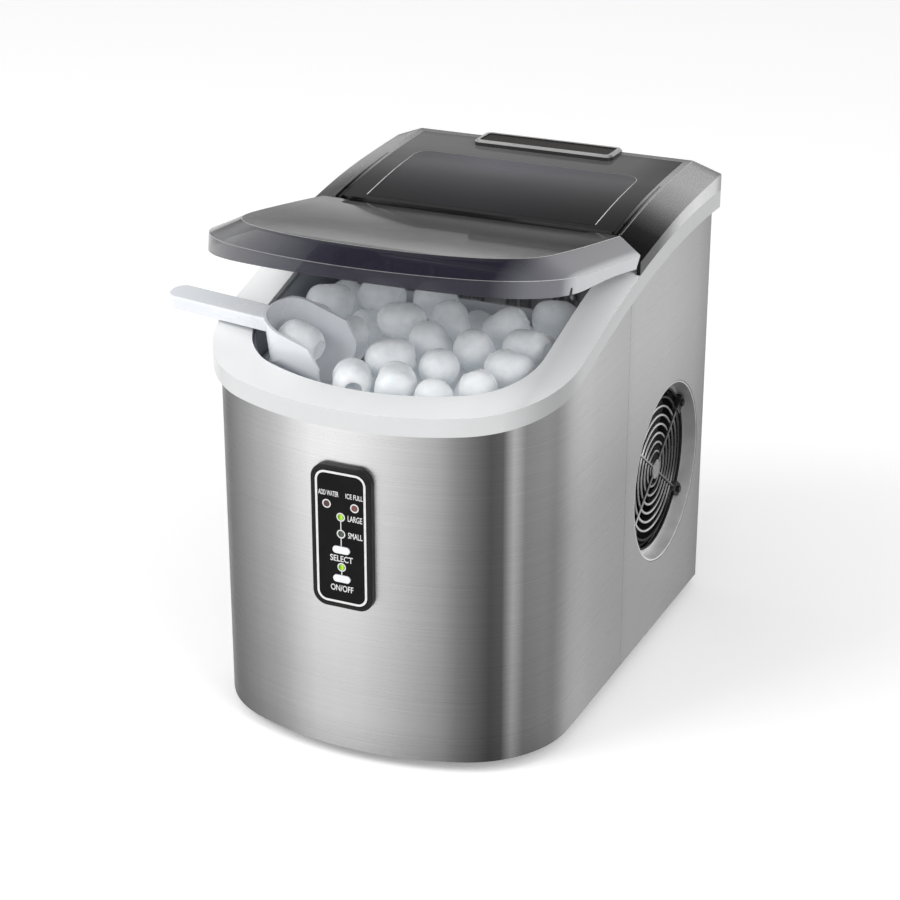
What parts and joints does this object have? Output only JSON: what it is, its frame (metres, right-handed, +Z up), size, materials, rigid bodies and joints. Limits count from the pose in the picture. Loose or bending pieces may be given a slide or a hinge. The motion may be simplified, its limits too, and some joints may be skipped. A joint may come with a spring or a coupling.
{
  "type": "countertop ice maker",
  "caption": "Compact countertop ice maker with a bowed brushed-steel body, white rim, smoked lid standing open over an ice basket, side fan vent and scoop.",
  "frame": {"origin": "on the plane the feet stand on, under the middle of the steel body", "axes": "+Z up; the front with the control panel faces -Y; +X to the right as seen from the front"},
  "size_m": [0.2848, 0.3414, 0.3388],
  "materials": {
    "black_plastic": "satin black plastic",
    "rubber_black": "black rubber",
    "zinc_steel": "zinc-plated steel",
    "steel_sheet": "horizontally brushed stainless steel",
    "galvanised": "plain galvanised steel sheet",
    "white_plastic": "smooth white plastic",
    "liner_plastic": "smooth grey plastic",
    "foam": "cream insulating foam",
    "grey_cover": "dark grey metallic plastic",
    "gloss_black": "gloss black plastic",
    "dark_window": "dark smoked clear plastic",
    "bright_trim": "bright plated plastic",
    "panel_print": "black face with white line print",
    "lamp_lens": "small coloured lenses",
    "circuit": "green circuit board",
    "key_white": "pale grey keys",
    "stainless": "stainless wire",
    "fin_aluminium": "thin bare fins",
    "copper_pipe": "copper tube",
    "compressor_black": "black stoved paint",
    "brass_body": "machined brass",
    "plated_tube": "nickel-plated tube",
    "hose": "milky silicone hose",
    "smoked_clear": "smoked clear plastic",
    "basket_plastic": "pale translucent plastic",
    "ice": "cloudy wet ice",
    "scoop_plastic": "pale blue-white translucent plastic"
  },
  "bodies": {
    "cabinet": {"base_pan": "black_plastic", "rubber_feet": "rubber_black", "foot_screws": "zinc_steel", "front_wrap": "steel_sheet", "side_panel_right": "steel_sheet", "side_panel_left": "steel_sheet", "back_panel": "galvanised", "back_screws": "zinc_steel", "rim_bezel": "white_plastic", "tank_liner": "liner_plastic", "insulation_jacket": "foam", "cover_frame": "grey_cover", "cover_top_panel": "gloss_black", "cover_window": "dark_window", "nameplate_frame": "bright_trim", "nameplate_inlay": "gloss_black", "control_housing": "black_plastic", "control_overlay": "panel_print", "led_lenses": "lamp_lens", "control_board": "circuit", "vent_ring": "bright_trim", "vent_guard": "stainless", "fan_motor": "zinc_steel", "fan_shroud": "black_plastic", "condenser_fins": "fin_aluminium", "condenser_coil": "copper_pipe", "compressor": "compressor_black", "compressor_mounts": "rubber_black", "terminal_cover": "black_plastic", "filter_drier": "copper_pipe", "hot_gas_valve": "brass_body", "refrigerant_lines": "copper_pipe", "evaporator": "plated_tube", "evaporator_bracket": "stainless", "trough_motor": "zinc_steel", "water_pump": "black_plastic", "water_hoses": "hose", "main_board": "circuit", "ice_full_sensors": "black_plastic", "water_probes": "stainless", "power_inlet": "black_plastic", "drain_fitting": "white_plastic"},
    "lid": {"lid_shell": "smoked_clear", "lid_hinge_pins": "zinc_steel", "lid_bumpers": "rubber_black"},
    "select_key": {"select_button": "key_white"},
    "power_key": {"power_button": "key_white"},
    "basket": {"ice_basket": "basket_plastic", "ice_pieces": "ice"},
    "scoop": {"ice_scoop": "scoop_plastic", "scooped_ice": "ice"},
    "fan": {"fan_blades": "black_plastic"},
    "trough": {"water_trough": "white_plastic"},
    "shovel": {"ice_shovel": "white_plastic"},
    "drain_plug": {"drain_cap": "rubber_black"}
  },
  "joints": [
    {"name": "lid_hinge", "type": "hinge", "parent": "cabinet", "child": "lid", "pos_m": [0, 0.0185, 0.2965], "axis": [-1, 0, 0], "range_deg": [-17.5, 45]},
    {"name": "select_key_press", "type": "slide", "parent": "cabinet", "child": "select_key", "axis": [0, 1, 0], "range_m": [0, 0.001], "stiffness_N_per_m": 400, "springref_m": -0.002},
    {"name": "power_key_press", "type": "slide", "parent": "cabinet", "child": "power_key", "axis": [0, 1, 0], "range_m": [0, 0.001], "stiffness_N_per_m": 400, "springref_m": -0.002},
    {"name": "basket_lift", "type": "slide", "parent": "cabinet", "child": "basket", "axis": [0, 0, 1], "range_m": [0, 0.02]},
    {"name": "scoop_lift", "type": "slide", "parent": "basket", "child": "scoop", "axis": [0, 0, 1], "range_m": [0, 0.015]},
    {"name": "fan_spin", "type": "hinge", "parent": "cabinet", "child": "fan", "pos_m": [0.09, 0.0902, 0.1207], "axis": [1, 0, 0], "continuous": true},
    {"name": "trough_tilt", "type": "hinge", "parent": "cabinet", "child": "trough", "pos_m": [0, 0.043, 0.252], "axis": [1, 0, 0], "range_deg": [0, 50]},
    {"name": "shovel_sweep", "type": "hinge", "parent": "cabinet", "child": "shovel", "pos_m": [0, 0.043, 0.252], "axis": [1, 0, 0], "range_deg": [-105, 0]},
    {"name": "drain_plug_pull", "type": "slide", "parent": "cabinet", "child": "drain_plug", "axis": [-1, 0, 0], "range_m": [0, 0.03]}
  ],
  "couplings": [
    {"joint": "shovel_sweep", "follows": "trough_tilt", "ratio": -2.1}
  ]
}
